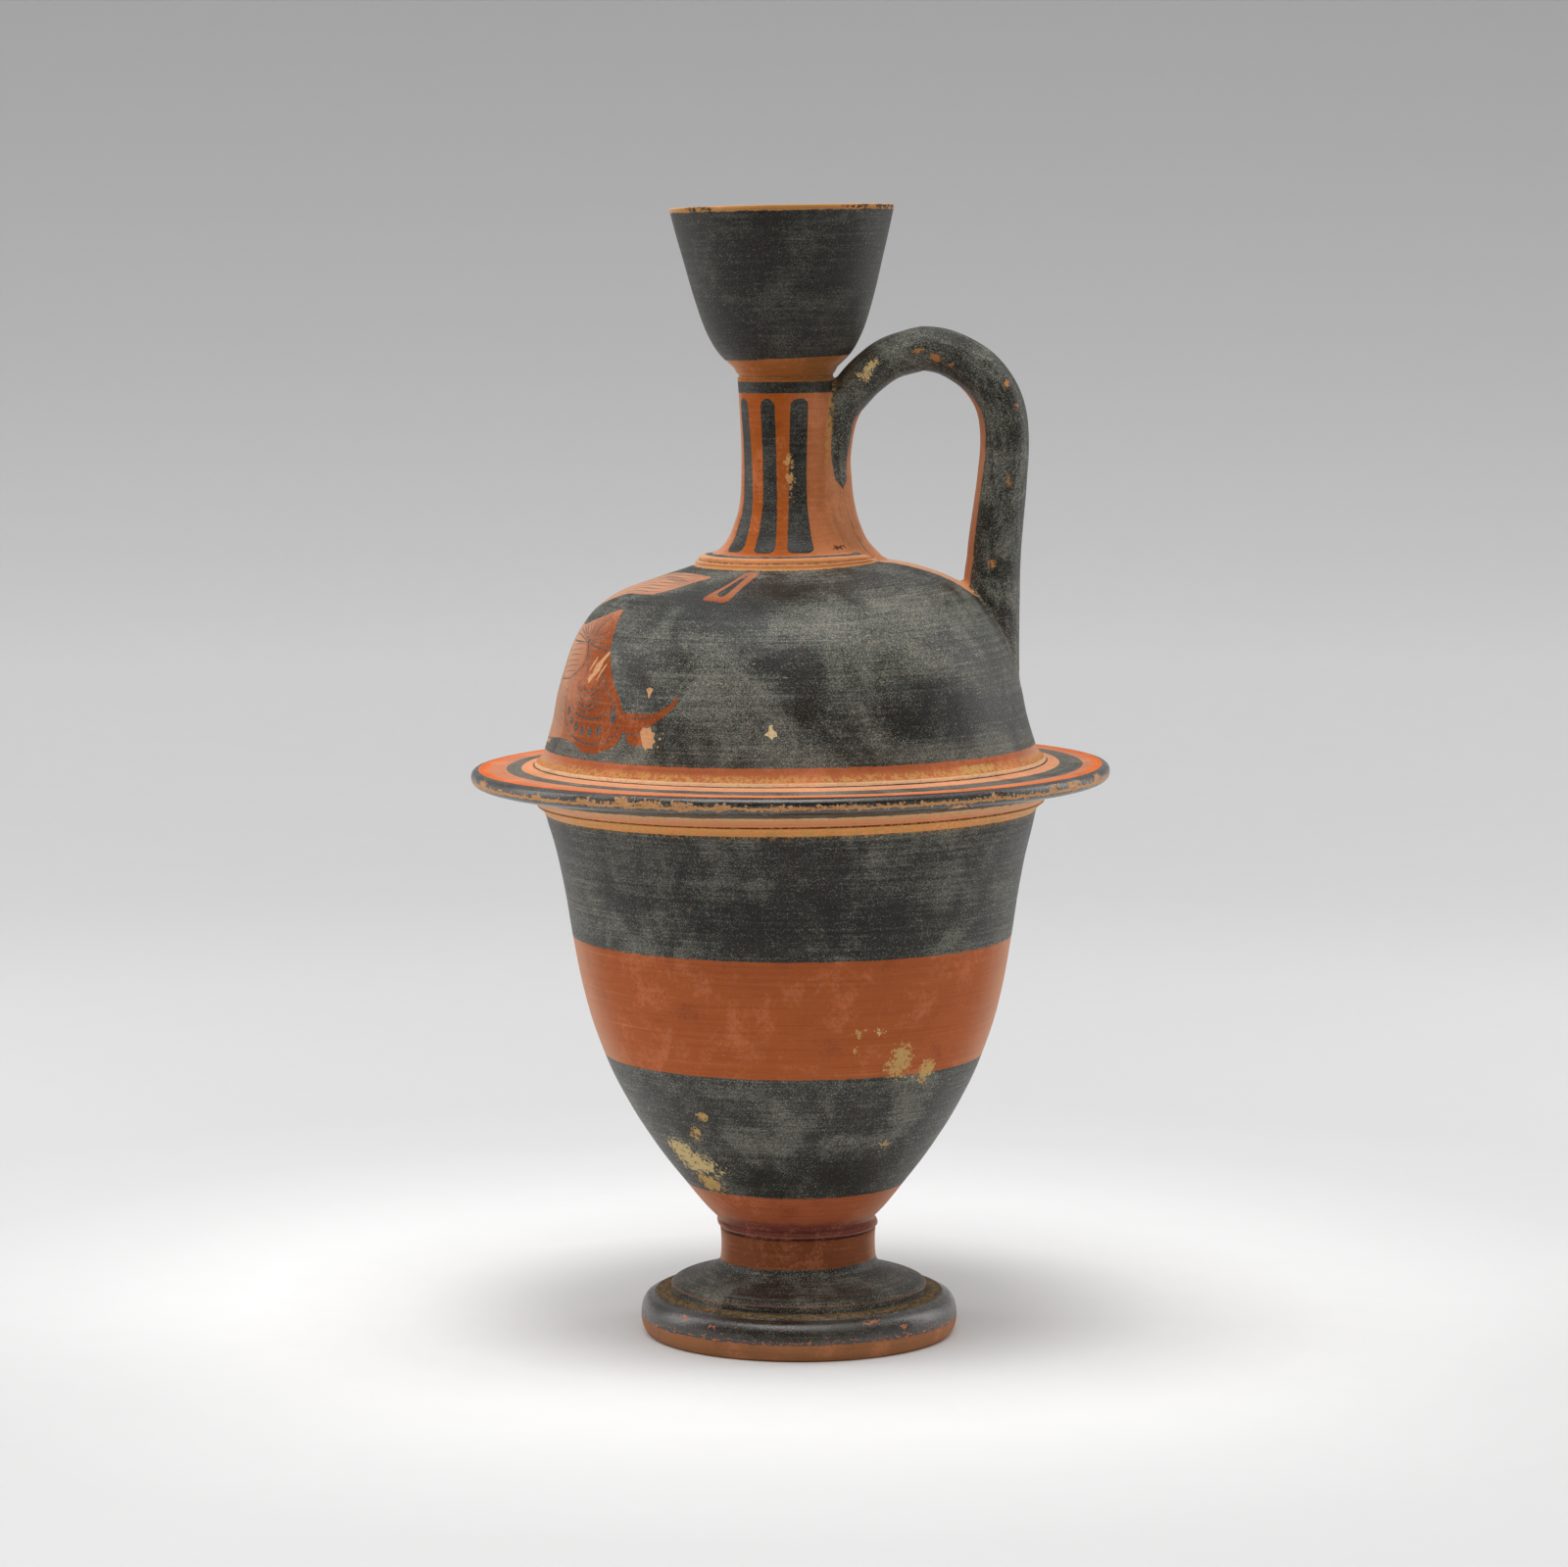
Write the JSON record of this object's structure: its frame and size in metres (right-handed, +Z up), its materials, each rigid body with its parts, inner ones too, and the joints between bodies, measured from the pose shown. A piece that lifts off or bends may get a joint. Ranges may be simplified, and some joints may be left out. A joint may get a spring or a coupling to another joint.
{
  "type": "red-figure lekythos",
  "caption": "Footed oil flask of fired clay with a wide flange, a tall flaring mouth, a looped handle and a hollow body, painted in red-figure.",
  "frame": {"origin": "on the surface that the foot stands on, below the centre of the flange, which is the middle of the part's box", "axes": "+Z up along the pot, +X towards the handle, -X towards the painted picture on the shoulder, +Y to the side away from the reference view"},
  "size_m": [0.181, 0.181, 0.3206],
  "materials": {
    "black_slip_on_clay": "satin"
  },
  "bodies": {
    "root": {"lekythos": "black_slip_on_clay"}
  },
  "joints": []
}
